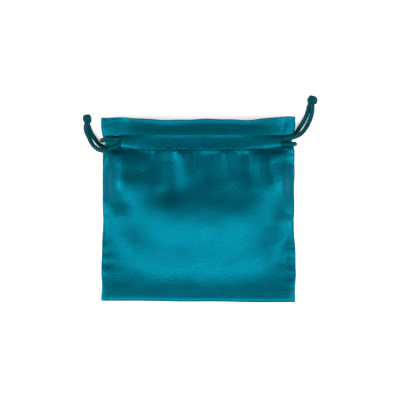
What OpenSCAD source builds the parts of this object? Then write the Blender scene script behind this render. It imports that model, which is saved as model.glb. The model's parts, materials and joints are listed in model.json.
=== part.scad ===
// Satin drawstring gift sack, lying flat on its back with the mouth towards +Y.
// Two panels are sewn together at the sides and the bottom. The top of each panel
// is turned over into a frill with a cord casing below it. Two drawcords run round
// the mouth in opposite directions, each with its ends in one knot.
// The origin is under the middle of the sack, on the surface that it lies on.

/* [Sack] */
// Width across the side seams
sack_w = 127; // [110:1:150]
// Height from the bottom seam to the top of the frill
sack_h = 120; // [106:1:140]
// Thickness of one layer of satin
cloth_t = 0.35; // [0.25:0.05:0.4]
// How far the belly stands above the side seams
belly_rise = 9; // [6:0.5:14]
// Width of the flat band along the bottom edge
bottom_flat = 5.5; // [4:0.5:8]

/* [Mouth] */
// Height of the frill above the cord casing
frill_h = 10.9; // [8:0.1:16]
// Height of the cord casing between its two rows of stitches
casing_h = 9; // [9:0.5:12]
// Clear gap between the front and the back inside the mouth
mouth_gap = 5; // [5:0.1:6]
// Distance from the left side to the left end of the casing
left_end = 13.5; // [12:0.5:16]
// Distance from the right side to the right end of the casing
right_end = 10.5; // [10:0.5:14]

/* [Drawcords] */
// Diameter of the braided cord
cord_d = 3; // [2.6:0.1:3]
// Width of the knot at each pull
knot_w = 6.2; // [5.6:0.1:7]

/* [Stitching] */
// Diameter of the sewing thread
thread_d = 0.36; // [0.2:0.02:0.4]
// Distance from one stitch to the next
stitch_pitch = 2.8; // [2.4:0.1:3.4]

/* [Hidden] */

half_w = sack_w / 2;
half_h = sack_h / 2;
casing_hi = half_h - frill_h;
casing_lo = casing_hi - casing_h;
casing_mid = (casing_lo + casing_hi) / 2;
casing_left = -half_w + left_end;
casing_right = half_w - right_end;

// Gaps that keep neighbouring solids from touching, and the play round a cord in its casing
skin_gap = 0.08;
fold_gap = 0.3;
seam_play = 0.05;
cord_play = 0.1;

// Heights above the surface at the middle of the casing, from the back to the front
tunnel_h = cord_d + 2 * cord_play;
back_cord_z = cloth_t + cord_play + cord_d / 2;
back_skin_z = 2 * cloth_t + tunnel_h;
front_skin_z = back_skin_z + mouth_gap;
front_cord_z = front_skin_z + cloth_t + cord_d / 2 + cord_play;
front_tunnel_z = front_cord_z + cord_d / 2 + cord_play;

// The side seams lie low at the bottom corners and rise to the middle of the mouth
seam_t = 0.8;
seam_gap = seam_t / 2 + seam_play;
seam_low = seam_gap + cloth_t;
seam_high = (back_skin_z + front_skin_z) / 2;
seam_w = 5;

satin = "teal";
cord_colour = "darkslategray";

// A cord's centreline is a curve through these points. Left points are measured from
// the left side at the middle of the casing, and right points from the right side.
// The third number is the height above the surface.
lane = 1.65;
left_pull_front = [
    [-9.8, 11.4, 4.8], [-10, 9.2, 4.5], [-9.5, 6.4, 3.8], [-7.9, 3, 3.4], [-5.7, -1.1, 4.9],
    [-2.6, -4.1, 7.6], [0.8, -5.5, 9.9], [5, -5.1, 11], [9.5, -3.2, 11.1],
];
left_pull_back = [
    [9.5, -2.1, 1.9], [5.4, -2.9, 1.8], [1.8, -2.9, 1.7], [-1.3, -1.3, 1.6], [-3.9, 1.9, 1.6],
    [-6.1, 5.2, 1.6], [-7.7, 8.4, 1.6], [-8.5, 11.4, 1.8],
];
right_pull_front = [
    [-6.5, 2.4, 11], [-3.1, 2.9, 10.3], [0, 3.8, 8.7], [3, 5.4, 6.2], [6.2, 8.9, 3.8],
    [8.8, 13.4, 2.5], [10.5, 18.4, 2.8], [10.9, 23.7, 4.1],
];
right_pull_back = [
    [-6.5, 2.2, 1.9], [-2.8, 3.4, 1.8], [0.4, 6.3, 1.6], [3, 10.3, 1.6], [5.6, 14.4, 1.6],
    [7.6, 19, 1.7], [8.7, 23.7, 1.9],
];
left_turn = [
    [9.5, 1.7, 10.9], [5.3, 1.7, 10.8], [2.1, 1.4, 9.5], [0.8, 1, 6.4], [2.1, 1.4, 3.3], [5.3, 1.7, 2],
    [9.5, 1.7, 1.9],
];
right_turn = [
    [-7, -1.65, 10.9], [-4.5, -1.6, 10.75], [-2, -1.4, 9.5], [-0.7, -1.2, 6.4], [-2, -1.4, 3.3],
    [-4.5, -1.6, 2.1], [-7, -1.65, 1.9],
];
left_knot_at = [-9.2, 15.3, 3.1];
right_knot_at = [10.9, 27.5, 3.1];

function smooth(t) = let (c = min(1, max(0, t))) c * c * (3 - 2 * c);
function mix(a, b, t) = a + (b - a) * t;
function unit(v) = v / norm(v);

// Half the sack's width at the height y: full at the bottom, a little waisted, pulled in by
// the cords at the casing, and flared at the frill
waist = 1.2;
cord_pull = 2;
flare = 0.8;
function edge_x(y) =
    half_w - waist * smooth((y + half_h - 25) / 30) + flare * smooth((y - casing_hi) / 7)
    - cord_pull * exp(-pow((y - casing_mid) / 3.4, 2));

function seam_z(y) = mix(seam_low, seam_high, smooth((y + half_h) / (casing_lo + half_h)));

// Height of the front panel over the side seams, along the middle of the sack
belly_start = -half_h + bottom_flat;
function along(y) = min(1, max(0, (y - belly_start) / (casing_lo - belly_start)));
function front_rise(y) =
    (front_skin_z - seam_high - seam_gap) * smooth(along(y)) + belly_rise * pow(sin(180 * along(y)), 1.5);

// Share of the rise across the sack: u is 0 in the middle and 1 at a side seam
function crown(u, y) = 1 - pow(abs(u), mix(3, 5, smooth(along(y))));

// The casing is an arch with a flat margin for each row of stitches: s is from -1 to 1 across it.
// The panels rise by sewn_rise to meet its margins, and lie back under its arch.
margin_at = 0.875;
function arch(s) = 1 - pow(min(1, abs(s) / margin_at), 6);
sewn_rise = 2.2;
function sewn(y) =
    y < casing_lo ? smooth((y - casing_lo) / 14 + 1) :
    y > casing_hi ? 1 : 1 - arch(2 * (y - casing_lo) / casing_h - 1);

// Underside of the front panel and underside of the back panel
function front_z(x, y) =
    seam_z(y) + seam_gap + (front_rise(y) + sewn_rise * sewn(y)) * crown(x / edge_x(y), y);
function back_z(x, y) =
    let (side = pow(max(0, abs(x) / edge_x(y) - 0.75) / 0.25, 2),
         lift = (back_skin_z - cloth_t) * smooth((y - casing_lo + 9) / 7) - sewn_rise * sewn(y))
    mix(max(0, lift), seam_z(y) - seam_gap - cloth_t, side);

// A closed sheet on a grid: at(i / cols, j / rows) gives a point of its lower face,
// and its upper face lies the thickness t above
module sheet(cols, rows, at, t) {
    side = cols + 1;
    layer = side * (rows + 1);
    lower = [for (j = [0:rows]) for (i = [0:cols]) at(i / cols, j / rows)];
    upper = [for (p = lower) p + [0, 0, t]];
    rim = concat(
        [for (i = [0:cols]) i], [for (j = [1:rows]) j * side + cols],
        [for (i = [1:cols]) rows * side + cols - i], [for (j = [1:rows - 1]) (rows - j) * side]
    );
    faces = concat(
        [for (j = [0:rows - 1]) for (i = [0:cols - 1]) let (a = j * side + i) each
            [[a, a + 1, a + side + 1], [a, a + side + 1, a + side]]],
        [for (j = [0:rows - 1]) for (i = [0:cols - 1]) let (a = layer + j * side + i) each
            [[a + side + 1, a + 1, a], [a + side, a + side + 1, a]]],
        [for (k = [0:len(rim) - 1]) let (a = rim[k], b = rim[(k + 1) % len(rim)]) each
            [[b, a, a + layer], [b, a + layer, b + layer]]]
    );
    polyhedron(concat(lower, upper), faces);
}

// Places s from -1 to 1 across the sack, closer together near the sides
function spread_out(i) = let (s = 2 * i - 1) sign(s) * (1 - pow(1 - abs(s), 1.4));

// A panel's rows of points: some below the casing, and as many across the casing as its strip has
rows_below = 26;
casing_rows = 16;
panel_rows = rows_below + casing_rows;
function panel_y(j) = let (row = j * panel_rows)
    row < rows_below ? mix(-half_h, casing_lo, row / rows_below)
                     : mix(casing_lo, casing_hi, (row - rows_below) / casing_rows);

module front_panel() color(satin)
    sheet(32, panel_rows, function(i, j) let (y = panel_y(j), x = spread_out(i) * edge_x(y))
        [x, y, front_z(x, y)], cloth_t);

module back_panel() color(satin)
    sheet(32, panel_rows, function(i, j) let (y = panel_y(j), x = (2 * i - 1) * edge_x(y))
        [x, y, back_z(x, y)], cloth_t);

module front_casing() color(satin)
    sheet(24, casing_rows, function(i, j)
        let (x = mix(casing_left, casing_right, i), y = mix(casing_lo, casing_hi, j),
             foot = front_z(x, y) + cloth_t + skin_gap)
        [x, y, mix(foot, max(foot, front_tunnel_z), arch(2 * j - 1))], cloth_t);

module back_casing() color(satin)
    sheet(24, casing_rows, function(i, j)
        let (x = mix(casing_left, casing_right, i), y = mix(casing_lo, casing_hi, j),
             foot = back_z(x, y) - cloth_t - skin_gap)
        [x, y, mix(foot, 0, arch(2 * j - 1))], cloth_t);

// The frill is the turned-over top edge, so it is two layers thick. The back one droops
// towards the surface.
frill_t = 2 * cloth_t + skin_gap;
back_droop = 2.4;

module front_frill() color(satin)
    sheet(24, 6, function(i, j)
        let (y = mix(casing_hi + fold_gap, half_h, j), x = spread_out(i) * edge_x(y))
        [x, y, front_z(x, y)], frill_t);

module back_frill() color(satin)
    sheet(24, 6, function(i, j)
        let (y = mix(casing_hi + skin_gap, half_h, j), x = spread_out(i) * edge_x(y),
             top = back_z(x, y) + cloth_t)
        [x, y, top - frill_t - min(back_droop, top - frill_t - skin_gap) * smooth(j)], frill_t);

// The folded-in edges of the two panels, sewn together inside the sack
seam_top = casing_lo - 1.5;
seam_inset = 0.1;

module side_seam(side) color(satin)
    sheet(3, 24, function(i, j)
        let (y = mix(belly_start, seam_top, j), outer = edge_x(y) - seam_inset,
             x = mix(outer, outer - seam_w, side > 0 ? 1 - i : i))
        [side * x, y, seam_z(y) - seam_t / 2], seam_t);

module bottom_seam() color(satin)
    sheet(16, 2, function(i, j)
        let (y = mix(seam_inset - half_h, belly_start - skin_gap, j),
             x = (2 * i - 1) * (edge_x(y) - seam_inset))
        [x, y, seam_z(y) - seam_t / 2], seam_t);

// A straight stitch from a to b
module stitch(a, b, d = thread_d) {
    v = b - a;
    translate(a)
        rotate([0, acos(v.z / norm(v)), atan2(v.y, v.x)])
            cylinder(d = d, h = norm(v), $fn = 16);
}

// Stitches one pitch apart from the place from to the place to, along the line at(place)
stitch_share = 0.8;
module stitch_row(from, to, at, d = thread_d) {
    count = floor((to - from) / stitch_pitch);
    length = stitch_pitch * stitch_share;
    for (k = [0:count - 1])
        let (start = from + k * stitch_pitch)
            stitch(at(start), at(start + length), d);
}

// Overlocking binds the raw edges of the seam allowances
overlock_d = 0.5;
overlock_off = 0.4;

module side_overlock(side) color(satin)
    stitch_row(belly_start + 1, seam_top - 1,
        function(y) [side * (edge_x(y) - seam_inset - seam_w - overlock_off), y, seam_z(y)], overlock_d);

module bottom_overlock() color(satin)
    stitch_row(-half_w + seam_w + 3, half_w - seam_w - 3,
        function(x) [x, belly_start + overlock_off, seam_z(belly_start)], overlock_d);

// The rows of stitches lie on the casing's margins, a hair off the cloth
row_inset = 0.28;
row_margin = 1.5;
thread_lift = 0.52;

function front_stitch_z(x, y) = front_z(x, y) + 2 * cloth_t + skin_gap + thread_d * thread_lift;
function back_stitch_z(x, y) = back_z(x, y) - cloth_t - skin_gap - thread_d * thread_lift;

module front_row(y) color(satin)
    stitch_row(casing_left + row_margin, casing_right - row_margin, function(x) [x, y, front_stitch_z(x, y)]);

module back_row(y) color(satin)
    stitch_row(casing_left + row_margin, casing_right - row_margin, function(x) [x, y, back_stitch_z(x, y)]);

// Three short stitches side by side at each corner of the casing's open ends
tack_l = 1;
tack_off = 0.8;
tack_inset = 0.1;
tack_step = 0.45;

module tacks(z_at) color(satin)
    for (x0 = [casing_left - tack_off, casing_right + tack_off])
        for (y0 = [casing_lo + tack_inset, casing_hi - tack_inset - tack_l])
            for (k = [-1:1])
                let (x = x0 + tack_step * k, z = z_at(x, y0 + tack_l / 2))
                    stitch([x, y0, z], [x, y0 + tack_l, z]);

module front_tacks() tacks(function(x, y)
    max(front_z(x, y - tack_l / 2), front_z(x, y + tack_l / 2)) + cloth_t + thread_d * thread_lift);
module back_tacks() tacks(function(x, y)
    min(back_z(x, y - tack_l / 2), back_z(x, y + tack_l / 2)) - thread_d * thread_lift);

// A point of the curve from b to c that continues smoothly from a and to d
function curve_point(a, b, c, d, t) =
    0.5 * (2 * b + (c - a) * t + (2 * a - 5 * b + 4 * c - d) * t * t + (3 * b - a - 3 * c + d) * pow(t, 3));

// The curve through points, with a ring about every ring_step
ring_step = 2.5 * cord_d;
function curve(points) = let (last = len(points) - 1) concat(
    [for (k = [0:last - 1])
        let (a = points[max(k - 1, 0)], b = points[k], c = points[k + 1], d = points[min(k + 2, last)],
             steps = max(1, round(norm(c - b) / ring_step)))
        each [for (s = [0:steps - 1]) curve_point(a, b, c, d, s / steps)]],
    [points[last]]);

function directions(path) = let (last = len(path) - 1)
    [for (k = [0:last]) unit(path[min(k + 1, last)] - path[max(k - 1, 0)])];

// Normals that turn as little as possible from one ring to the next
function carried(ways, normal, k = 0) =
    k == len(ways) ? [] :
    let (n = unit(normal - ways[k] * (ways[k] * normal))) concat([n], carried(ways, n, k + 1));

module tube(path, d, sides = 8) {
    ways = directions(path);
    normals = carried(ways, [0, 0, 1]);
    rings = len(path);
    points = [for (k = [0:rings - 1]) for (s = [0:sides - 1]) let (a = 360 * s / sides)
        path[k] + d / 2 * (cos(a) * normals[k] + sin(a) * cross(ways[k], normals[k]))];
    skin = [for (k = [0:rings - 2]) for (s = [0:sides - 1])
        let (a = k * sides + s, b = k * sides + (s + 1) % sides) each
        [[a, a + sides, b + sides], [a, b + sides, b]]];
    first = [for (s = [0:sides - 1]) s];
    end = [for (s = [0:sides - 1]) rings * sides - 1 - s];
    polyhedron(points, concat(skin, [first, end]));
}

// Points of a route measured from a side at the middle of the casing
function from_side(points, side) = [for (p = points) p + [side * half_w, casing_mid, 0]];

// The straight runs inside the casing, with points that come closer together near its ends
run_insets = [0, 4, 12, 30];
function run(y, z) = concat(
    [for (inset = run_insets) [casing_left + inset, y, z]],
    turned([for (inset = run_insets) [casing_right - inset, y, z]]));
function front_run(y) = run(y, front_cord_z);
function back_run(y) = turned(run(y, back_cord_z));
function turned(points) = [for (k = [len(points) - 1:-1:0]) points[k]];

left_route = concat(
    from_side(left_pull_front, -1), front_run(casing_mid - lane), from_side(right_turn, 1),
    back_run(casing_mid - lane), from_side(left_pull_back, -1));

right_route = concat(
    from_side(turned(right_pull_front), 1), turned(front_run(casing_mid + lane)), from_side(left_turn, -1),
    turned(back_run(casing_mid + lane)), from_side(right_pull_back, 1));

module left_drawcord() color(cord_colour) tube(curve(left_route), cord_d);
module right_drawcord() color(cord_colour) tube(curve(right_route), cord_d);

// A knot is a rounded lump, a little longer than it is wide
module knot(at, lean) color(cord_colour)
    translate(at) rotate([0, 0, lean]) rotate([90, 0, 0])
        rotate_extrude($fn = 40) intersection() {
            offset(r = 1.4) polygon([[0, -1.8], [1.1, -1.8], [knot_w / 2 - 1.4, -0.7],
                [knot_w / 2 - 1.4, 0.8], [1, 1.8], [0, 1.8]]);
            translate([0, -knot_w]) square([knot_w, 2 * knot_w]);
        }

module left_knot() knot(from_side([left_knot_at], -1)[0], 4);
module right_knot() knot(from_side([right_knot_at], 1)[0], -4);

front_panel();
back_panel();
front_casing();
back_casing();
front_frill();
back_frill();
side_seam(-1);  // left_seam
side_seam(1);  // right_seam
bottom_seam();
side_overlock(-1);  // left_overlock
side_overlock(1);  // right_overlock
bottom_overlock();
front_row(casing_lo + row_inset);  // front_lower_stitch
front_row(casing_hi - row_inset);  // front_upper_stitch
back_row(casing_lo + row_inset);  // back_lower_stitch
back_row(casing_hi - row_inset);  // back_upper_stitch
front_tacks();
back_tacks();
left_drawcord();
right_drawcord();
left_knot();
right_knot();
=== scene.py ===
# Satin drawstring gift sack: the looks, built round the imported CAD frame.
import json
import math

import bpy
import numpy as np
from mathutils import Matrix, Vector

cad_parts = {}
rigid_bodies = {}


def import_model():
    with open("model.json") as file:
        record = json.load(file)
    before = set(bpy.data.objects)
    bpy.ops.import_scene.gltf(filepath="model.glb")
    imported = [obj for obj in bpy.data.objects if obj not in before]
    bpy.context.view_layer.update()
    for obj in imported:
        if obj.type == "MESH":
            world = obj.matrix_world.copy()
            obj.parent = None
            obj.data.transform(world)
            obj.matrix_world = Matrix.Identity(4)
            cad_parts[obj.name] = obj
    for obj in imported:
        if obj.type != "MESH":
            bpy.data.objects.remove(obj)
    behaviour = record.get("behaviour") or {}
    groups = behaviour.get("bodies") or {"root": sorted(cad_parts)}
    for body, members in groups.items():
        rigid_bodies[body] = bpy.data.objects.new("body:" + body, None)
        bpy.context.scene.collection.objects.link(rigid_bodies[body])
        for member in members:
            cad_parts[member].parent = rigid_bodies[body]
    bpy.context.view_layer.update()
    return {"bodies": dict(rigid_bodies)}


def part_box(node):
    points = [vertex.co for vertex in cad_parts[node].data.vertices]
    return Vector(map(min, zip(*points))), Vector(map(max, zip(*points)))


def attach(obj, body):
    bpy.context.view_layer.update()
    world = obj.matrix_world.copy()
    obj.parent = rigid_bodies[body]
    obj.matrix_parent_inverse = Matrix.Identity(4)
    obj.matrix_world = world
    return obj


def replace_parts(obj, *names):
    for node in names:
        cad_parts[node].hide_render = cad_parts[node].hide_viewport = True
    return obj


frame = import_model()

MM = 0.001

# ---------------------------------------------------------------- sizes

panel_lo, panel_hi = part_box("front_panel")
strip_lo, strip_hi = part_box("front_casing")
_, frill_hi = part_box("front_frill")
HALF_W = panel_hi.x
BOTTOM, TOP = panel_lo.y, frill_hi.y
CASING_LO, CASING_HI = strip_lo.y, strip_hi.y
CASING_MID = (CASING_LO + CASING_HI) / 2
CASING_LEFT, CASING_RIGHT = strip_lo.x, strip_hi.x

# These are the CAD's own: cloth, cord and thread, and how high the empty sack stands open
CLOTH_T = 0.35 * MM
CORD_D = 3 * MM
THREAD_D = 0.36 * MM
MOUTH_GAP = 5 * MM
BELLY_RISE = 9 * MM
BOTTOM_FLAT = 5.5 * MM
CORD_PLAY = 0.1 * MM

BELLY_START = BOTTOM + BOTTOM_FLAT
BACK_SKIN = 2 * CLOTH_T + CORD_D + 2 * CORD_PLAY
FRONT_SKIN = BACK_SKIN + MOUTH_GAP
BACK_CORD_Z = CLOTH_T + CORD_PLAY + CORD_D / 2
FRONT_CORD_Z = FRONT_SKIN + CLOTH_T + CORD_D / 2 + CORD_PLAY
# The side seams: half the gap between the two cloths, and their height at the bottom and the casing
SEAM_HALF = 0.45 * MM
SEAM_LOW = SEAM_HALF + CLOTH_T
SEAM_HIGH = (BACK_SKIN + FRONT_SKIN) / 2
# How far the sewing draws the front up and the back down to the casing's stitches
SEWN_RISE = 4.15 * MM
BACK_SEWN_DROP = 2.2 * MM

# ---------------------------------------------------------------- camera

LENS, SENSOR = 100, 36
VIEW_W = 260.5 * MM
VIEW_CENTRE = (1.0 * MM, 7.0 * MM)
VIEW_Z = 5 * MM


def make_camera():
    data = bpy.data.cameras.new("camera")
    data.lens, data.sensor_width = LENS, SENSOR
    data.clip_start, data.clip_end = 0.01, 20
    camera = bpy.data.objects.new("camera", data)
    camera.location = (*VIEW_CENTRE, VIEW_W * LENS / SENSOR + VIEW_Z)
    bpy.context.collection.objects.link(camera)
    bpy.context.scene.camera = camera


make_camera()

# ---------------------------------------------------------------- small tools


def smooth(t):
    t = np.clip(t, 0, 1)
    return t * t * (3 - 2 * t)


def mix(a, b, t):
    return a + (b - a) * t


def bump(t, width):
    return np.exp(-(t / width) ** 2)


def unit(v):
    return v / np.linalg.norm(v, axis=-1, keepdims=True)


def reach_along(points, axis=0):
    """Each point's distance from the first one, measured along one axis of the grid of points."""
    steps = np.linalg.norm(np.diff(points, axis=axis), axis=-1)
    return np.concatenate([np.zeros_like(np.take(steps, [0], axis)), np.cumsum(steps, axis)], axis)


def make_piece(name, points, faces, places, material, slot, body="sack", crease=50):
    """A mesh object that rides on body. places holds where on the cloth or cord each point is, in metres, and
    on a cord also how far it stands out of the braid, from 0 to 1."""
    mesh = bpy.data.meshes.new(name)
    mesh.from_pydata(np.asarray(points).tolist(), [], [list(f) for f in faces])
    layer = mesh.uv_layers.new(name="cloth")
    corners = np.empty(len(mesh.loops), int)
    mesh.loops.foreach_get("vertex_index", corners)
    places = np.asarray(places, float)
    layer.data.foreach_set("uv", places[corners, :2].ravel())
    # The braid's height, from which the cord material paints highlight on the tops and shade in the gaps.
    if places.shape[1] > 2:
        mesh.attributes.new("relief", "FLOAT", "POINT").data.foreach_set("value", places[:, 2])
    mesh.shade_smooth()
    mesh.set_sharp_from_angle(angle=math.radians(crease))
    mesh.materials.append(material)
    piece = bpy.data.objects.new(name, mesh)
    bpy.context.collection.objects.link(piece)
    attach(piece, body)
    return piece


def sheet_parts(mid, thickness):
    """Points, faces and places of a closed sheet whose middle runs through the grid mid[row, column]."""
    rows, cols = mid.shape[:2]
    across = np.gradient(mid, axis=1)
    along = np.gradient(mid, axis=0)
    normal = unit(np.cross(across, along))
    upper, lower = mid + normal * thickness / 2, mid - normal * thickness / 2
    points = np.concatenate([upper.reshape(-1, 3), lower.reshape(-1, 3)])
    index = np.arange(rows * cols).reshape(rows, cols)
    a, b, c, d = index[:-1, :-1], index[:-1, 1:], index[1:, 1:], index[1:, :-1]
    quads = np.stack([a, b, c, d], -1).reshape(-1, 4)
    rim = np.concatenate([index[0, :-1], index[:-1, -1], index[-1, :0:-1], index[:0:-1, 0]])
    after = np.roll(rim, -1)
    count = rows * cols
    faces = np.concatenate([
        quads, quads[:, ::-1] + count, np.stack([after, rim, rim + count, after + count], -1),
    ])
    u = reach_along(mid, 1)
    u = u - u[:, cols // 2][:, None]
    places = np.stack([u, reach_along(mid, 0)], -1).reshape(-1, 2)
    return points, faces, np.concatenate([places, places])


SPAN_SAMPLES = 40


def curve(points, step):
    """Evenly spaced points on the curve through points, the one that the CAD sweeps its cords along."""
    p = np.array([points[0], *points, points[-1]], float)
    t = np.linspace(0, 1, SPAN_SAMPLES, endpoint=False)[:, None]
    runs = []
    for a, b, c, d in zip(p, p[1:], p[2:], p[3:]):
        runs.append(0.5 * (2 * b + (c - a) * t + (2 * a - 5 * b + 4 * c - d) * t**2
                           + (3 * b - a - 3 * c + d) * t**3))
    dense = np.concatenate([*runs, p[-1:]])
    reach = reach_along(dense)
    keep = np.concatenate([[True], np.diff(reach) > 1e-9])
    even = np.linspace(0, reach[-1], max(2, round(reach[-1] / step)))
    return np.stack([np.interp(even, reach[keep], dense[keep, k]) for k in range(3)], -1)


def tube_parts(path, radius, sides, relief=None):
    """Points, faces and places of a closed tube. radius is a number or one for each point of path.
    relief(s, angle) adds height at s metres along the tube."""
    count = len(path)
    ways = unit(np.gradient(path, axis=0))
    normals = np.empty_like(path)
    n = np.array([0.0, 0.0, 1.0])
    for k, way in enumerate(ways):
        n = n - way * (way @ n)
        if np.linalg.norm(n) < 1e-6:
            n = np.cross(way, (1, 0, 0))
        n = n / np.linalg.norm(n)
        normals[k] = n
    sideways = np.cross(ways, normals)
    angle = np.arange(sides) * 2 * math.pi / sides
    s = reach_along(path)
    r = np.broadcast_to(np.asarray(radius, float).reshape(-1, 1), (count, sides)).copy()
    height = np.ones((count, sides))
    if relief is not None:
        raised = relief(s[:, None], angle[None, :])
        r = r + raised
        # Share of the braid's height, which the cord's colour turns into painted highlight and painted shade.
        height = (raised - raised.min()) / np.ptp(raised)
    spoke = (np.cos(angle)[None, :, None] * normals[:, None]
             + np.sin(angle)[None, :, None] * sideways[:, None])
    points = (path[:, None] + r[..., None] * spoke).reshape(-1, 3)
    ring = np.arange(count * sides).reshape(count, sides)
    a, b = ring[:-1], np.roll(ring, -1, 1)[:-1]
    c, d = np.roll(ring, -1, 1)[1:], ring[1:]
    faces = np.stack([a, b, c, d], -1).reshape(-1, 4).tolist()
    faces += [ring[0][::-1].tolist(), ring[-1].tolist()]
    mean_r = float(np.mean(radius))
    places = np.stack(np.broadcast_arrays(angle[None, :] * mean_r, s[:, None], height), -1).reshape(-1, 3)
    return points, faces, places


def joined(parts):
    """Several (points, faces, places) as one."""
    points, faces, places, start = [], [], [], 0
    for p, f, uv in parts:
        points.append(p)
        places.append(uv)
        faces += [[i + start for i in face] for face in f]
        start += len(p)
    return np.concatenate(points), faces, np.concatenate(places)


# ---------------------------------------------------------------- materials


class Nodes:
    """Short calls for a material's nodes."""

    def __init__(self, name):
        self.material = bpy.data.materials.new(name)
        self.material.use_nodes = True
        self.tree = self.material.node_tree
        self.shader = self.tree.nodes["Principled BSDF"]

    def new(self, kind, inputs=(), **settings):
        node = self.tree.nodes.new(kind)
        for key, value in settings.items():
            setattr(node, key, value)
        for key, value in dict(inputs).items():
            self.set(node.inputs[key], value)
        return node

    def set(self, socket, value):
        if isinstance(value, bpy.types.NodeSocket):
            self.tree.links.new(value, socket)
        else:
            socket.default_value = value

    def math(self, operation, a, b=0.0):
        node = self.new("ShaderNodeMath", {0: a, 1: b}, operation=operation)
        return node.outputs[0]

    def noise(self, place, scale, detail=2.0):
        node = self.new("ShaderNodeTexNoise", {"Vector": place, "Scale": scale, "Detail": detail})
        return node.outputs["Fac"]

    def ramp(self, value, stops):
        node = self.new("ShaderNodeValToRGB", {"Fac": value})
        while len(node.color_ramp.elements) < len(stops):
            node.color_ramp.elements.new(0.5)
        for element, (place, colour) in zip(node.color_ramp.elements, stops):
            element.position, element.color = place, (*colour, 1)
        return node.outputs["Color"]


# Linear colours. The scales are per metre, the depths in metres.
SATIN_DARK, SATIN_LIGHT = (0.0003, 0.092, 0.132), (0.0006, 0.122, 0.175)
SATIN_SHEEN = (0.0, 0.68, 1.0, 1)
# The cord's two colours run from painted shade in the braid's gaps to a painted highlight on its tops, with
# random tone mixed in.
CORD_DARK, CORD_LIGHT = (0.0001, 0.012, 0.017), (0.004, 0.170, 0.205)
THREAD_DARK, THREAD_LIGHT = (0.0004, 0.040, 0.052), (0.002, 0.10, 0.13)
YARN_SHEEN = (0.0, 0.6, 0.75, 1)
GRAIN_SLANT = math.radians(38)
GRAIN_SCALE, SPECKLE_SCALE, CLOUD_SCALE, FLOAT_SCALE = 1900, 1150, 60, 520
SPECKLE_DEPTH, GRAIN_DEPTH, FLOAT_DEPTH = 0.0004, 0.00012, 0.00005
STRAND_SCALE, STRAND_DEPTH, YARN_CLOUD_SCALE = 1500, 0.00008, 420


def satin():
    """Satin: long floats that run one way, with a broad coloured sheen and a fine grain in it."""
    m = Nodes("satin")
    place = m.new("ShaderNodeUVMap", uv_map="cloth").outputs["UV"]
    slanted = m.new("ShaderNodeMapping", {"Vector": place, "Rotation": (0, 0, GRAIN_SLANT),
                                          "Scale": (1, 0.35, 1)}).outputs["Vector"]
    grain = m.noise(slanted, GRAIN_SCALE, 3)
    speckle = m.noise(place, SPECKLE_SCALE, 2)
    cloud = m.noise(place, CLOUD_SCALE, 3)
    floats = m.new("ShaderNodeTexWave", {"Vector": slanted, "Scale": FLOAT_SCALE, "Distortion": 3,
                                         "Detail": 2, "Detail Scale": 3},
                   bands_direction="X").outputs["Fac"]
    shade = m.math("ADD", m.math("MULTIPLY", cloud, 0.55), m.math("MULTIPLY", grain, 0.45))
    colour = m.ramp(shade, [(0.30, SATIN_DARK), (0.70, SATIN_LIGHT)])
    m.set(m.shader.inputs["Metallic"], 0.85)
    m.set(m.shader.inputs["Base Color"], colour)
    rough = m.math("ADD", m.math("MULTIPLY", grain, 0.16), 0.30)
    m.set(m.shader.inputs["Roughness"], rough)
    m.set(m.shader.inputs["Specular IOR Level"], 1.0)
    m.set(m.shader.inputs["Specular Tint"], SATIN_SHEEN)
    m.set(m.shader.inputs["IOR"], 1.6)
    fleck = m.new("ShaderNodeBump", {"Strength": 0.6, "Distance": SPECKLE_DEPTH, "Height": speckle})
    fine = m.new("ShaderNodeBump", {"Strength": 0.32, "Distance": GRAIN_DEPTH, "Height": grain,
                                    "Normal": fleck.outputs["Normal"]})
    weave = m.new("ShaderNodeBump", {"Strength": 0.15, "Distance": FLOAT_DEPTH, "Height": floats,
                                     "Normal": fine.outputs["Normal"]})
    m.set(m.shader.inputs["Normal"], weave.outputs["Normal"])
    return m.material


def yarn(name, dark, light, twist):
    """Plied yarn: fine strands that wind round it at a slant. On a cord the braid's tops get a painted
    highlight and its gaps painted shade.
    """
    m = Nodes(name)
    place = m.new("ShaderNodeUVMap", uv_map="cloth").outputs["UV"]
    turned = m.new("ShaderNodeMapping", {"Vector": place, "Rotation": (0, 0, math.radians(twist))})
    strands = m.new("ShaderNodeTexWave", {"Vector": turned.outputs["Vector"], "Scale": STRAND_SCALE,
                                          "Distortion": 2.0, "Detail": 2, "Detail Scale": 2},
                    bands_direction="X").outputs["Fac"]
    cloud = m.noise(place, YARN_CLOUD_SCALE, 3)
    height = m.new("ShaderNodeAttribute", attribute_name="relief").outputs["Fac"]
    shade = m.math("ADD", m.math("MULTIPLY", strands, 0.2), m.math("MULTIPLY", cloud, 0.2))
    # Painted highlight on the braid's tops and painted shade in its gaps: the colour follows the braid's
    # height.
    shade = m.math("ADD", shade, m.math("MULTIPLY", m.math("POWER", height, 5), 0.6))
    m.set(m.shader.inputs["Base Color"], m.ramp(shade, [(0.2, dark), (0.85, light)]))
    m.set(m.shader.inputs["Roughness"], m.math("ADD", m.math("MULTIPLY", cloud, 0.2), 0.42))
    m.set(m.shader.inputs["Metallic"], 0.35)
    m.set(m.shader.inputs["Specular IOR Level"], 0.5)
    m.set(m.shader.inputs["Specular Tint"], YARN_SHEEN)
    relief = m.new("ShaderNodeBump", {"Strength": 0.5, "Distance": STRAND_DEPTH, "Height": strands})
    m.set(m.shader.inputs["Normal"], relief.outputs["Normal"])
    return m.material


SATIN = satin()
CORD = yarn("cord", CORD_DARK, CORD_LIGHT, 35)
THREAD = yarn("thread", THREAD_DARK, THREAD_LIGHT, 20)

# ---------------------------------------------------------------- drawcords

# How far each cord lies from the middle of the casing
LANE = 1.65 * MM
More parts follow.
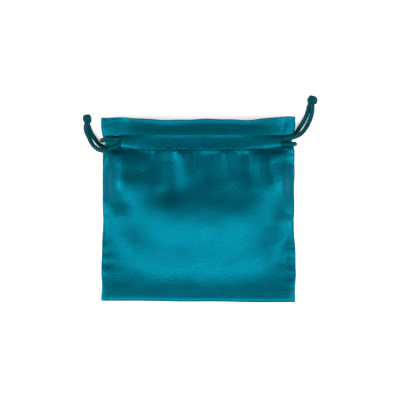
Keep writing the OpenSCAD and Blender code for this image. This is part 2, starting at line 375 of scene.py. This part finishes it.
# The CAD's own route points, in mm, measured from the sack's side at the middle of the casing
LEFT_PULL_FRONT = [
    (-9.8, 11.4, 4.8), (-10, 9.2, 4.5), (-9.5, 6.4, 3.8), (-7.9, 3, 3.4), (-5.7, -1.1, 4.9),
    (-2.6, -4.1, 7.6), (0.8, -5.5, 9.9), (5, -5.1, 11), (9.5, -3.2, 11.1),
]
LEFT_PULL_BACK = [
    (9.5, -2.1, 1.9), (5.4, -2.9, 1.8), (1.8, -2.9, 1.7), (-1.3, -1.3, 1.6), (-3.9, 1.9, 1.6),
    (-6.1, 5.2, 1.6), (-7.7, 8.4, 1.6), (-8.5, 11.4, 1.8),
]
RIGHT_PULL_FRONT = [
    (-6.5, 2.4, 11), (-3.1, 2.9, 10.3), (0, 3.8, 8.7), (3, 5.4, 6.2), (6.2, 8.9, 3.8),
    (8.8, 13.4, 2.5), (10.5, 18.4, 2.8), (10.9, 23.7, 4.1),
]
RIGHT_PULL_BACK = [
    (-6.5, 2.2, 1.9), (-2.8, 3.4, 1.8), (0.4, 6.3, 1.6), (3, 10.3, 1.6), (5.6, 14.4, 1.6),
    (7.6, 19, 1.7), (8.7, 23.7, 1.9),
]
LEFT_TURN = [
    (9.5, 1.7, 10.9), (5.3, 1.7, 10.8), (2.1, 1.4, 9.5), (0.8, 1, 6.4), (2.1, 1.4, 3.3), (5.3, 1.7, 2),
    (9.5, 1.7, 1.9),
]
RIGHT_TURN = [
    (-7, -1.65, 10.9), (-4.5, -1.6, 10.75), (-2, -1.4, 9.5), (-0.7, -1.2, 6.4), (-2, -1.4, 3.3),
    (-4.5, -1.6, 2.1), (-7, -1.65, 1.9),
]
# A knot's middle, from the same place
LEFT_KNOT_AT = (-9.2, 15.3, 3.1)
RIGHT_KNOT_AT = (10.9, 27.5, 3.1)
# Where the straight runs through the casing have points, from each of its ends
RUN_INSETS = (0, 4 * MM, 12 * MM, 30 * MM)


def from_side(points, side):
    return [(side * HALF_W + x * MM, CASING_MID + y * MM, z * MM) for x, y, z in points]


def front_run(y):
    xs = [*(CASING_LEFT + inset for inset in RUN_INSETS),
          *(CASING_RIGHT - inset for inset in RUN_INSETS[::-1])]
    return [(x, y, FRONT_CORD_Z) for x in xs]


def back_run(y):
    return [(x, y, BACK_CORD_Z) for x, _, _ in front_run(y)[::-1]]


LEFT_ROUTE = [
    *from_side(LEFT_PULL_FRONT, -1), *front_run(CASING_MID - LANE), *from_side(RIGHT_TURN, 1),
    *back_run(CASING_MID - LANE), *from_side(LEFT_PULL_BACK, -1),
]
RIGHT_ROUTE = [
    *from_side(RIGHT_PULL_FRONT[::-1], 1), *front_run(CASING_MID + LANE)[::-1], *from_side(LEFT_TURN, -1),
    *back_run(CASING_MID + LANE)[::-1], *from_side(RIGHT_PULL_BACK, 1),
]

BRAID_STRANDS = 6
BRAID_CELL = 1.25 * MM
BRAID_DEPTH = 0.24 * MM
KNOT_BRAID_DEPTH = 0.7 * BRAID_DEPTH
CORD_CORE_R = CORD_D / 2 - 0.05 * MM
KNOT_WRAP_R = 1.4 * MM
KNOT_STRAND_R = CORD_D / 2 - 0.15 * MM
CORD_STEP = 0.22 * MM
ROUTE_STRIDE = 12


def braid(depth):
    """Height of a braid of strands that wind both ways and pass over and under one another."""
    def relief(s, angle):
        turn = BRAID_STRANDS * angle / (2 * math.pi)
        a, b = turn + s / (2 * BRAID_CELL), turn - s / (2 * BRAID_CELL)
        i, j = np.floor(a), np.floor(b)

        def round_top(t):
            return np.sqrt(np.clip(1 - (2 * (t - np.floor(t)) - 1) ** 2, 0, 1))

        over = round_top(a) + 0.8 * np.cos(math.pi * (b - 0.5 + i))
        under = round_top(b) - 0.8 * np.cos(math.pi * (a - 0.5 + j))
        return depth * (np.maximum(over, under) - 1.45)
    return relief


def make_cord(name, route, body):
    """The cord and the points of its middle line."""
    path = curve(route, CORD_STEP)
    parts = tube_parts(path, CORD_CORE_R, 32, braid(BRAID_DEPTH))
    piece = make_piece(name, *parts, CORD, "cord", body, crease=80)
    return piece, path[::ROUTE_STRIDE]


def make_knot(name, at, route, lean, radius, body):
    """An overhand knot in both ends of a cord: two turns round the two strands, pulled tight into a ball,
    with the trimmed ends in its crown. The knot's own frame has x across it, y towards its ends, z up, in mm.
    lean turns it in degrees, and radius is that of the turns."""
    c, s = math.cos(math.radians(lean)), math.sin(math.radians(lean))
    side = -1 if at[0] < 0 else 1
    centre = np.array(from_side([at], side)[0])

    def placed(points):
        x, y, z = np.array(points).T * MM
        return np.stack([x * c - y * s, x * s + y * c, z], -1) + centre

    turns = np.linspace(0, 1, 160)
    angle = -side * turns * 2 * math.pi * 2.2 + math.radians(215)
    swell = mix(0.6, 1, np.sin(math.pi * turns) ** 0.5)
    wrap = np.stack([radius * swell * np.cos(angle), -1.7 + 3.3 * turns + 0.45 * np.sin(angle),
                     0.72 * radius * swell * np.sin(angle)], -1)
    parts = [tube_parts(placed(wrap), KNOT_WRAP_R, 24, braid(KNOT_BRAID_DEPTH))]
    for up, end, before in ((1, route[0], route[1]), (-1, route[-1], route[-2])):
        end, before = np.array(end), np.array(before)
        inside = placed([(0.3 * up, -1.4, 0.5 * up), (0.7 * up, 0.6, 0.1), (0.8 * up, 1.9, 0.3),
                         (0.9 * up, 2.8, 0.5)])
        line = curve([mix(end, before, 0.4), end, *inside], 0.2 * MM)
        parts.append(tube_parts(line, KNOT_STRAND_R, 24, braid(KNOT_BRAID_DEPTH)))
    return make_piece(name, *joined(parts), CORD, "cord", body, crease=80)


left_cord, left_line = make_cord("left_cord", LEFT_ROUTE, "left_pull")
right_cord, right_line = make_cord("right_cord", RIGHT_ROUTE, "right_pull")
left_tied = make_knot("left_overhand_knot", LEFT_KNOT_AT, LEFT_ROUTE, 6, 1.6, "left_pull")
right_tied = make_knot("right_overhand_knot", RIGHT_KNOT_AT, RIGHT_ROUTE, -14, 2.1, "right_pull")
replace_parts(left_cord, "left_drawcord")
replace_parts(right_cord, "right_drawcord")
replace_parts(left_tied, "left_knot")
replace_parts(right_tied, "right_knot")

# ---------------------------------------------------------------- cloth shapes


WAIST, PULLED_IN, FLARE = 1.2 * MM, 2 * MM, 0.8 * MM
FRILL_H = TOP - CASING_HI


def edge_x(y):
    """Half the sack's width: full at the bottom, a little waisted, pulled in by the cords, then flared."""
    pulled = PULLED_IN * bump(y - CASING_MID, 3.4 * MM)
    return (HALF_W - WAIST * smooth((y - BOTTOM - 25 * MM) / (30 * MM)) - pulled
            + FLARE * smooth((y - CASING_HI) / (7 * MM)))


def seam_z(y):
    """Height of the side seams: low at the bottom, half-way between the two casings at the mouth."""
    return mix(SEAM_LOW, SEAM_HIGH, smooth(((y - BOTTOM) / (CASING_LO - BOTTOM) - 0.15) / 0.85))


def share_from(start, y):
    """0 at start, 1 at the casing."""
    return np.clip((y - start) / (CASING_LO - start), 0, 1)


def belly_start(x, y):
    """Where the belly begins to rise: close to the bottom edge in the middle, further up at the corners."""
    return BELLY_START + 6 * MM + 26 * MM * np.clip(np.abs(x) / edge_x(y), 0, 1) ** 5


def front_rise(x, y):
    """How far the front's middle stands above the side seams."""
    swell = np.sin(math.pi * share_from(belly_start(x, y), y)) ** 1.7
    return (FRONT_SKIN - SEAM_HIGH - SEAM_HALF) * smooth(share_from(BELLY_START, y)) + BELLY_RISE * swell


ARCH_SHOULDER = 0.875
SEWN_REACH = 34 * MM


def sewn(y):
    """Share of SEWN_RISE or BACK_SEWN_DROP at y: it grows up to the stitches and is 0 under the cords."""
    s = 2 * (y - CASING_LO) / (CASING_HI - CASING_LO) - 1
    across = 1 - (1 - np.minimum(1, np.abs(s) / ARCH_SHOULDER) ** 6)
    below = smooth((y - CASING_LO) / SEWN_REACH + 1)
    return np.where(y < CASING_LO, below, np.where(y > CASING_HI, 1, across))


def seam_lip(x, y):
    """How far each cloth has turned away from the seam that joins it to the other one."""
    reach = np.minimum(edge_x(y) - np.abs(x), y - BOTTOM)
    return SEAM_HALF * (1 - np.exp(-np.clip(reach, 0, None) / (0.5 * MM)))


def drift(x, y, size, seed=0.0):
    """Slow, irregular ripples between about -1 and 1, size metres across."""
    total = 0
    for k in range(7):
        turn = 2.4 * k + seed
        along = (x * math.cos(turn) + y * math.sin(turn)) / (size * (0.55 + 0.13 * k))
        total = total + np.sin(along + 1.7 * k * k + seed + 0.8 * np.sin(along * 0.37 + k))
    return total / 3.2


# Folds of the front, each a ridge from (x, y) to (x, y), then its width and its height at the two ends,
# all in mm. A height below 0 makes a hollow.
FOLDS = [
    (-52, 36, -51, 8, 5, 6, 0.8, 0.9), (-45, 27, -46, 19, 12, 14, 3.0, 3.6),
    (-35, 38, -31, 28, 6, 8, -1.0, -0.8), (-18, 30, -17, 14, 7, 8, -1.3, -2.0),
    (-12, 39, -6, 24, 3, 6, 0.8, 0.5), (5, 36, 6, 24, 7, 8, -0.8, -0.8),
    (18, 38, 22, 20, 3, 7, 0.8, 0.7), (31, 36, 30, 27, 6, 7, -0.8, -0.6),
    (46, 30, 49, 18, 10, 13, 3.0, 3.8), (-57, -28, -53, -44, 6, 7, -1.1, -1.2),
    (-52, -4, -50, -20, 10, 10, -2.4, -1.8), (55, -28, 53, -44, 6, 7, -0.9, -1.0),
    (54, -6, 53, -20, 8, 8, -1.2, -1.0), (14, 6, 10, -2, 16, 16, -0.8, -0.8),
]
# Where the casing's stitches draw the cloth into a pucker: x in mm, and its height as a share of PUCKER_H
PUCKER_H = 0.8 * MM
PUCKERS = [(-44, 1.0), (-29, 0.45), (-13.4, 1.2), (-9.6, 0.6), (3.6, 0.8), (13, 0.3), (18.6, 0.8), (24, 0.4),
           (32.2, 0.9), (36, 0.5), (41, 0.8), (47.5, 0.5)]
# Hollows where a side seam draws the cloth in: side, y, width and depth in mm
SEAM_HOLLOWS = [
    (-1, 29, 3.5, 0.5), (-1, 9, 5, 1.3), (-1, -6, 3, 0.5), (-1, -17, 5, 0.6), (-1, -36, 4, 0.5),
    (1, 30, 3, 0.5), (1, 16, 4.5, 0.6), (1, -8.5, 3.4, 1.1), (1, -20, 4, 1.1), (1, -34, 5, 0.6),
]


def folds(x, y):
    """The ridges and hollows of FOLDS with slow ripples on them, faded out at the seams and stitches."""
    z = np.zeros_like(x)
    for x0, y0, x1, y1, width0, width1, height0, height1 in FOLDS:
        ax, ay, bx, by = x0 * MM, y0 * MM, x1 * MM, y1 * MM
        length2 = (bx - ax) ** 2 + (by - ay) ** 2
        t = np.clip(((x - ax) * (bx - ax) + (y - ay) * (by - ay)) / length2, 0, 1)
        away = np.hypot(x - mix(ax, bx, t), y - mix(ay, by, t))
        z = z + mix(height0, height1, t) * MM * bump(away, mix(width0, width1, t) * MM)
    z = z + 0.3 * MM * drift(x, y, 10 * MM) + 0.07 * MM * drift(x, y, 3.5 * MM, 2.0)
    calm = smooth((edge_x(y) - np.abs(x)) / (8 * MM)) * smooth((CASING_LO - y) / (4 * MM))
    return z * calm * smooth((y - BELLY_START) / (9 * MM))


def puckers(x, y, line, away_sign, reach):
    """Small ridges that run from the stitches at y = line, down or up by away_sign, and fade over reach."""
    away = np.clip(away_sign * (y - line), 0, None)
    z = np.zeros_like(x)
    for at, height in PUCKERS:
        width = (0.95 + 0.45 * away / MM) * MM
        z = z + PUCKER_H * height * bump(x - at * MM - 0.1 * away, width)
    ripple = 0.14 * MM * np.sin(x / (0.9 * MM) + 2 * np.sin(x / (5.3 * MM)))
    inside = smooth((edge_x(y) - np.abs(x)) / (6 * MM))
    return (z + ripple) * np.exp(-away / reach) * smooth(away / (0.7 * MM)) * inside


def seam_puckers(x, y):
    """Hollows and ripples that run in from the side seams, where the sewing has drawn the cloth up."""
    inward = edge_x(y) - np.abs(x)
    side = np.sign(x)
    z = 0.22 * MM * np.sin(y / (1.9 * MM) + side * 1.3 + 2.1 * np.sin(y / (6.3 * MM) + side))
    z = z + 0.3 * MM * drift(y, y * 0.3 + side * 0.03, 4 * MM)
    for which, at, width, depth in SEAM_HOLLOWS:
        z = z - np.where(side == which, depth * MM * bump(y - at * MM, width * MM), 0)
    held = smooth((y - BELLY_START) / (5 * MM)) * smooth((CASING_LO - y) / (4 * MM))
    return z * smooth(inward / (1.6 * MM)) * np.exp(-inward / (5.5 * MM)) * held


TURNED_UP, FRILL_FALL = 0.55 * MM, 0.34 * MM
FRILL_TURN = 0.7
# Where the frill turns up from lower down: x, width and how much lower, in mm, mm and shares of the frill
FRILL_PATCHES = [(-26, 5, 0.12), (-15, 6, 0.16), (8, 7, 0.05), (27, 4, 0.08), (50, 7, 0.3)]


def frill_shape(x, y):
    """The front frill falls away from the casing and turns up again at its edge."""
    t = np.clip((y - CASING_HI) / FRILL_H, 0, 1)
    middle = smooth((x + 54 * MM) / (14 * MM)) * smooth((61 * MM - x) / (6 * MM))
    start = FRILL_TURN
    for at, width, lower in FRILL_PATCHES:
        start = start - lower * bump(x - at * MM, width * MM)
    turned_up = TURNED_UP * np.clip((t - start) / (1 - start), 0, 1) ** 2 * (0.25 + 0.75 * middle)
    turned_up = turned_up * (1 + 0.3 * drift(x, 0 * x, 7 * MM, 3.0))
    fall = FRILL_FALL * (1 - smooth(t / 0.7)) - 1.1 * MM * t * smooth((-x - 44 * MM) / (9 * MM))
    crease = -0.3 * MM * bump(x - mix(54.5, 56.5, t) * MM, 1.5 * MM) * smooth(t * 3)
    wave = 0.16 * MM * drift(x, y, 7 * MM, 4.0) * smooth(t * 2)
    inside = smooth((edge_x(y) - np.abs(x)) / (4 * MM))
    return turned_up + (fall + wave + crease) * inside


BAND_RISE = 0.6 * MM


def bottom_band(x, y):
    """Along the bottom edge the cloth lies over its seam allowance and falls away behind it."""
    inside = smooth((edge_x(y) - np.abs(x)) / (4 * MM))
    hump = smooth((y - BOTTOM) / (1.6 * MM)) * (1 - smooth((y - BOTTOM - 2 * MM) / (11 * MM)))
    return BAND_RISE * hump * (1 + 0.2 * drift(x, 0 * x, 8 * MM, 1.0)) * inside


# How softly the front comes down on its lowest height
SLACK = 1.2 * MM


def front_mid(x, y):
    """Height of the middle of the front cloth. It stays above the side seams' height, but for the hollows that
    the seams draw in, which room limits. Room is more than the gap over the side allowances, which therefore
    stand out through the cloth in places."""
    u = np.abs(x) / edge_x(y)
    crown = 1 - np.clip(u, 0, 1) ** mix(3, 5, smooth(share_from(BELLY_START, y)))
    lowest = seam_z(y) + CLOTH_T / 2 + seam_lip(x, y)
    z = (front_rise(x, y) + SEWN_RISE * sewn(y)) * crown
    groove = -0.2 * MM * bump(y - CASING_LO, 0.7 * MM) * smooth((edge_x(y) - np.abs(x)) / (4 * MM))
    z = z + groove + folds(x, y) + bottom_band(x, y)
    z = z + puckers(x, y, CASING_LO, -1, 5 * MM)
    z = lowest + (z + np.sqrt(z**2 + SLACK**2) - SLACK) / 2
    room = (0.15 + 0.7 * smooth((y - BOTTOM - 15 * MM) / (25 * MM))) * MM
    z = z + np.maximum(seam_puckers(x, y), -room)
    below_frill = frill_shape(x, CASING_HI + 0 * y) * smooth((y - CASING_HI) / (2.5 * MM) + 1)
    return z + np.where(y > CASING_HI, frill_shape(x, y), below_frill)


def back_mid(x, y):
    """Height of the middle of the back cloth, which lies on the table."""
    u = np.abs(x) / edge_x(y)
    side = np.clip((u - 0.75) / 0.25, 0, None) ** 2
    lift = (BACK_SKIN - CLOTH_T) * smooth((y - CASING_LO + 9 * MM) / (7 * MM)) - BACK_SEWN_DROP * sewn(y)
    z = mix(np.maximum(0, lift), seam_z(y) - SEAM_HALF - CLOTH_T, side) + CLOTH_T / 2
    z = z + (SEAM_HALF - seam_lip(x, y))
    t = np.clip((y - CASING_HI) / FRILL_H, 0, 1)
    drop = 2.4 * MM * smooth(t) * (1 - smooth((u - 0.7) / 0.3))
    ripple = 0.25 * MM * (1 + np.sin(y / (2.3 * MM) + 3 * np.sign(x))) * bump(u - 0.93, 0.05)
    wrinkle = 0.35 * MM * (1 + drift(x, y, 7 * MM, 5.0)) * smooth((CASING_LO - y) / (6 * MM))
    table = CLOTH_T / 2
    return np.maximum(z - drop + (ripple + wrinkle) * smooth((y - BELLY_START) / (6 * MM)), table)


def top_wave(x):
    """The mouth's edge is a little wavy and rises to its corners."""
    corner = 2.0 * MM * smooth((np.abs(x) / HALF_W - 0.45) / 0.55)
    return corner - 1.4 * MM + 0.35 * MM * np.sin(x / (7.5 * MM) + 0.6) + 0.15 * MM * np.sin(x / (2.9 * MM))


def bottom_wave(x):
    """The bottom edge runs slightly downhill to the right."""
    return 0.5 * MM - 0.6 * MM * x / HALF_W + 0.12 * MM * np.sin(x / (8 * MM))


def outline(x, y):
    """Moves a point's y near the top and the bottom edge, so that the two edges wave."""
    y = y + top_wave(x) * smooth((y - CASING_HI) / FRILL_H)
    return y + bottom_wave(x) * smooth((BELLY_START + 10 * MM - y) / (15 * MM))


def side_wave(x, y):
    """Small waves of the side edges."""
    reach = smooth((np.abs(x) / edge_x(y) - 0.8) / 0.2)
    return np.sign(x) * reach * 0.3 * MM * drift(y, x * 0.5, 5 * MM, 7.0)


def spread_out(count):
    """Places from -1 to 1, closer together near the ends."""
    s = np.linspace(-1, 1, count)
    return np.sign(s) * (1 - (1 - np.abs(s)) ** 1.35)


# ---------------------------------------------------------------- gathering

SLOT_X = min(-CASING_LEFT, CASING_RIGHT)


def gather(piece):
    """The cloth at the mouth follows the cords: the left pull's cord turns round the right edge and draws it
    in, and the right pull's cord draws the left edge in. The share fades out towards the bottom seam. The
    hooks move the cloth only when the pulls move: at rest they leave it as built. The hooks work in pose
    renders only: the export takes the shape at rest."""
    count = len(piece.data.vertices)
    co = np.empty(count * 3)
    piece.data.vertices.foreach_get("co", co)
    x, y, _ = co.reshape(-1, 3).T
    share = np.clip(np.abs(x) / SLOT_X, 0, 1) * smooth((y - BOTTOM) / (CASING_LO - BOTTOM)) ** 1.3
    share = share * (1 - 0.3 * smooth((y - CASING_HI) / FRILL_H))
    for side, body in ((1, "left_pull"), (-1, "right_pull")):
        group = piece.vertex_groups.new(name=body)
        for i in np.nonzero((side * x > 0) & (share > 1e-4))[0]:
            group.add([int(i)], float(share[i]), "REPLACE")
        hook = piece.modifiers.new(body, "HOOK")
        hook.object = frame["bodies"][body]
        hook.vertex_group = body
        hook.falloff_type = "NONE"
        hook.matrix_inverse = Matrix.Identity(4)
    return piece


# ---------------------------------------------------------------- cloth pieces

COLS = 190
BODY_ROWS, MOUTH_ROWS, HEM_ROWS, FOLD_STEPS = 110, 56, 30, 7
MOUTH_START = CASING_LO - 6 * MM
HEM_END = CASING_LO - 1 * MM
HEM_WIDTH = 0.992
FACING_GAP = 0.1 * MM


def panel_with_hem(name, mid_z, inward):
    """One cloth from the bottom seam up to the mouth, over the edge, and down inside to the lower stitches.
    inward is -1 for the front, whose hem lies below it, and 1 for the back."""
    drop = CLOTH_T + FACING_GAP

    def row(y, width=1.0, lift=0.0):
        x = spread_out(COLS) * edge_x(y) * width
        yy = np.full_like(x, y)
        return np.stack([x + side_wave(x, yy), outline(x, yy), mid_z(x, yy) + lift], -1)

    rows = [row(y) for y in np.linspace(BOTTOM, MOUTH_START, BODY_ROWS, endpoint=False)]
    rows += [row(y) for y in np.linspace(MOUTH_START, TOP, MOUTH_ROWS)]
    edge = rows[-1]
    for k in range(1, FOLD_STEPS):
        a = math.pi * k / FOLD_STEPS
        rows.append(edge + np.array([0, math.sin(a), inward * (1 - math.cos(a))]) * drop / 2)
    rows += [row(y, HEM_WIDTH, inward * drop) for y in np.linspace(TOP, HEM_END, HEM_ROWS)]
    piece = make_piece(name, *sheet_parts(np.array(rows), CLOTH_T), SATIN, "satin")
    return gather(piece)


def casing_strip(name, base_z, crest_z, outward):
    """The strip of cloth sewn over the cords. Its lower edge sinks into the panel just past the stitches, and
    its upper edge lies level with the frill and runs on a little under it. outward is 1 for the front."""
    tuck, run_on = 0.45 * MM, 1.8 * MM
    ys = np.linspace(CASING_LO - tuck, CASING_HI + run_on, 46)
    xs = np.linspace(CASING_LEFT, CASING_RIGHT, 150)
    x, y = np.meshgrid(xs, ys)
    s = np.clip((y - CASING_MID) / ((CASING_HI - CASING_LO) / 2), -1, 1)
    sunk = (0.5 * MM * smooth((CASING_LO - y) / tuck + 0.2)
            + 0.2 * MM * smooth((y - CASING_HI + 0.3 * MM) / run_on))
    lifted = 1 - np.abs(s) ** 3
    pucker = puckers(x, y, CASING_LO, 1, 1.8 * MM)
    wrinkle = 0.1 * MM * drift(x, y, 5 * MM, 6.0) * lifted
    low, high = base_z(x, CASING_LO + 0 * y), base_z(x, np.maximum(CASING_HI, y))
    chord = mix(low + outward * CLOTH_T * 0.9, high, smooth((s + 1) / 2))
    z = mix(chord, crest_z, lifted) + outward * (wrinkle + 0.6 * pucker - sunk)
    if outward < 0:
        z = np.maximum(z, CLOTH_T / 2)
    piece = make_piece(name, *sheet_parts(np.stack([x, y, z], -1), CLOTH_T), SATIN, "satin")
    return gather(piece)


front_cloth = panel_with_hem("front_cloth", front_mid, -1)
back_cloth = panel_with_hem("back_cloth", back_mid, 1)
FRONT_CREST = FRONT_CORD_Z + CORD_D / 2 + CORD_PLAY + CLOTH_T / 2
front_strip = casing_strip("front_casing_strip", front_mid, FRONT_CREST, 1)
back_strip = casing_strip("back_casing_strip", back_mid, CLOTH_T / 2, -1)
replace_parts(front_cloth, "front_panel", "front_frill")
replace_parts(back_cloth, "back_panel", "back_frill")
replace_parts(front_strip, "front_casing")
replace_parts(back_strip, "back_casing")

# ---------------------------------------------------------------- seams and stitches

SEAM_W = 5 * MM
SEAM_TOP = CASING_LO - 1.5 * MM
SEAM_INSET = 0.6 * MM
ALLOWANCE_T = 2 * CLOTH_T
STITCH_PITCH, STITCH_LENGTH = 2.8 * MM, 2.25 * MM
TACK_POINTS = 13
# One loop of overlocking: share of the way to the next loop, reach over the cloth and height, in mm
OVERLOCK_LOOP = [(0, 1.9, 0.45), (0.35, 0, 0.3), (0.5, -0.35, 0), (0.65, 0, -0.3), (0.85, 1.7, -0.45)]


def side_allowance(name, side):
    """The folded-in edges of both panels at a side seam."""
    y = np.linspace(BELLY_START, SEAM_TOP, 90)[:, None]
    t = np.linspace(0, 1, 10)[None, :]
    inner = t if side < 0 else 1 - t
    outer = edge_x(y) - SEAM_INSET
    x = side * (outer - SEAM_W * inner)
    z = seam_z(y) + 0.12 * MM * np.sin(y / (1.4 * MM)) * inner
    mid = np.stack(np.broadcast_arrays(x, y, z), -1)
    return gather(make_piece(name, *sheet_parts(mid, ALLOWANCE_T), SATIN, "satin"))


def bottom_allowance(name):
    """The folded-in edges of both panels at the bottom seam."""
    y = np.linspace(BOTTOM + SEAM_INSET, BELLY_START, 8)[:, None]
    x = np.linspace(-1, 1, 120)[None, :] * (edge_x(BOTTOM) - 1 * MM)
    yy = outline(x + 0 * y, y + 0 * x)
    mid = np.stack([x + 0 * y, yy, seam_z(y) + 0 * x], -1)
    return make_piece(name, *sheet_parts(mid, ALLOWANCE_T), SATIN, "satin")


def overlock(name, start, end, count, at, inward):
    """Thread that loops over a raw edge: at(t) is the edge, and inward(t) points into the cloth."""
    points = []
    for k in range(count):
        t = mix(start, end, k / count)
        dt = (end - start) / count
        for share, reach, lift in OVERLOCK_LOOP:
            points.append(at(t + share * dt) + inward(t) * reach * MM + np.array([0, 0, lift * MM]))
    return tube_parts(curve(points, 0.35 * MM), THREAD_D * 0.45, 6)


def stitches(line, start, end):
    """A row of short stitches that lie on the cloth and dip into it at their ends."""
    parts = []
    for k in range(int((end - start) / STITCH_PITCH)):
        x = start + k * STITCH_PITCH + np.linspace(0, STITCH_LENGTH, 9)
        lift = THREAD_D * (0.55 - 1.3 * np.linspace(-1, 1, 9) ** 4)
        path = line(x) + lift[:, None] * np.array([0, 0, 1])
        parts.append(tube_parts(path, THREAD_D / 2, 8))
    return joined(parts)


def stitch_line(y, base_z, outward):
    """The line that a row of stitches follows: over the panel and the strip below the cords, and level with
    the strip above them."""
    layers = 1.4 if y < CASING_MID else 0.6

    def line(x):
        yy = np.full_like(x, y)
        z = base_z(x, yy) + outward * CLOTH_T * layers
        return np.stack([x, yy, z], -1)
    return line


def make_row(name, node, y, base_z, outward):
    parts = stitches(stitch_line(y, base_z, outward), CASING_LEFT + 1.5 * MM, CASING_RIGHT - 1 * MM)
    piece = gather(make_piece(name, *parts, THREAD, "thread"))
    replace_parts(piece, node)


def make_tacks(name, node, base_z, outward):
    """A short dense zigzag at each corner of the casing's open ends."""
    parts = []
    for x0 in (CASING_LEFT - 0.8 * MM, CASING_RIGHT + 0.8 * MM):
        for y0 in (CASING_LO + 0.1 * MM, CASING_HI - 1.1 * MM):
            k = np.arange(TACK_POINTS)
            x = x0 + 0.55 * MM * (-1.0) ** k
            y = y0 + 1 * MM * k / (TACK_POINTS - 1)
            z = base_z(x, y) + outward * (CLOTH_T / 2 + THREAD_D * 0.3)
            parts.append(tube_parts(curve(np.stack([x, y, z], -1), 0.12 * MM), THREAD_D * 0.4, 6))
    piece = gather(make_piece(name, *joined(parts), THREAD, "thread"))
    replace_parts(piece, node)


ROW_INSET = 0.28 * MM
FACES = (("front", front_mid, 1), ("back", back_mid, -1))
for label, base_z, outward in FACES:
    for row, y in (("lower", CASING_LO + ROW_INSET), ("upper", CASING_HI - ROW_INSET)):
        make_row(f"{label}_{row}_row", f"{label}_{row}_stitch", y, base_z, outward)
for label, base_z, outward in FACES:
    make_tacks(f"{label}_bar_tacks", f"{label}_tacks", base_z, outward)

for side, label in ((-1, "left"), (1, "right")):
    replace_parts(side_allowance(f"{label}_allowance", side), f"{label}_seam")
    looped = overlock(
        f"{label}_overlock_thread", BELLY_START + 1 * MM, SEAM_TOP - 1 * MM, 62,
        lambda y, side=side: np.array([side * (edge_x(y) - SEAM_INSET - SEAM_W), y, seam_z(y)]),
        lambda y, side=side: np.array([side, 0, 0]))
    thread = gather(make_piece(f"{label}_overlock_thread", *looped, THREAD, "thread"))
    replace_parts(thread, f"{label}_overlock")
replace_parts(bottom_allowance("bottom_allowance"), "bottom_seam")
looped = overlock(
    "bottom_overlock_thread", -HALF_W + SEAM_W + 3 * MM, HALF_W - SEAM_W - 3 * MM, 74,
    lambda x: np.array([x, BELLY_START, seam_z(BELLY_START)]), lambda x: np.array([0, -1, 0]))
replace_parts(make_piece("bottom_overlock_thread", *looped, THREAD, "thread"), "bottom_overlock")

# ---------------------------------------------------------------- floor and light


FLOOR_HALF, FLOOR_DROP = 3.0, 0.02 * MM
LIGHT_DISTANCE = 1.1


def make_floor():
    """A pale floor just under the sack, with a little light of its own so that it comes out nearly white."""
    m = Nodes("floor")
    m.set(m.shader.inputs["Base Color"], (0.93, 0.93, 0.93, 1))
    m.set(m.shader.inputs["Roughness"], 0.9)
    m.set(m.shader.inputs["Emission Color"], (1, 1, 1, 1))
    m.set(m.shader.inputs["Emission Strength"], 0.5)
    mesh = bpy.data.meshes.new("floor")
    corners = [(x * FLOOR_HALF, y * FLOOR_HALF, 0) for x, y in ((-1, -1), (1, -1), (1, 1), (-1, 1))]
    mesh.from_pydata(corners, [], [(0, 1, 2, 3)])
    mesh.materials.append(m.material)
    floor = bpy.data.objects.new("floor", mesh)
    floor.location.z = -FLOOR_DROP
    bpy.context.collection.objects.link(floor)


def softbox(name, azimuth, elevation, width, height, radiance):
    """An area light that looks at the sack. radiance is its brightness: its power follows from its size."""
    a, e = math.radians(azimuth), math.radians(elevation)
    data = bpy.data.lights.new(name, "AREA")
    data.shape, data.size, data.size_y = "RECTANGLE", width, height
    data.energy = radiance * math.pi * width * height
    light = bpy.data.objects.new(name, data)
    back = np.array([math.sin(a) * math.cos(e), -math.cos(a) * math.cos(e), math.sin(e)])
    light.location = back * LIGHT_DISTANCE
    light.rotation_mode = "QUATERNION"
    light.rotation_quaternion = Vector(-back).to_track_quat("-Z", "Y")
    bpy.context.collection.objects.link(light)


make_floor()
softbox("key", 0, 54, 0.9, 0.45, 6.0)
softbox("left_fill", -80, 42, 0.5, 0.5, 8.5)
softbox("right_fill", 80, 42, 0.5, 0.5, 7.5)

world = bpy.data.worlds.new("world")
world.use_nodes = True
world.node_tree.nodes["Background"].inputs["Color"].default_value = (1, 1, 1, 1)
world.node_tree.nodes["Background"].inputs["Strength"].default_value = 0.28
bpy.context.scene.world = world
bpy.context.scene.view_settings.view_transform = "Standard"
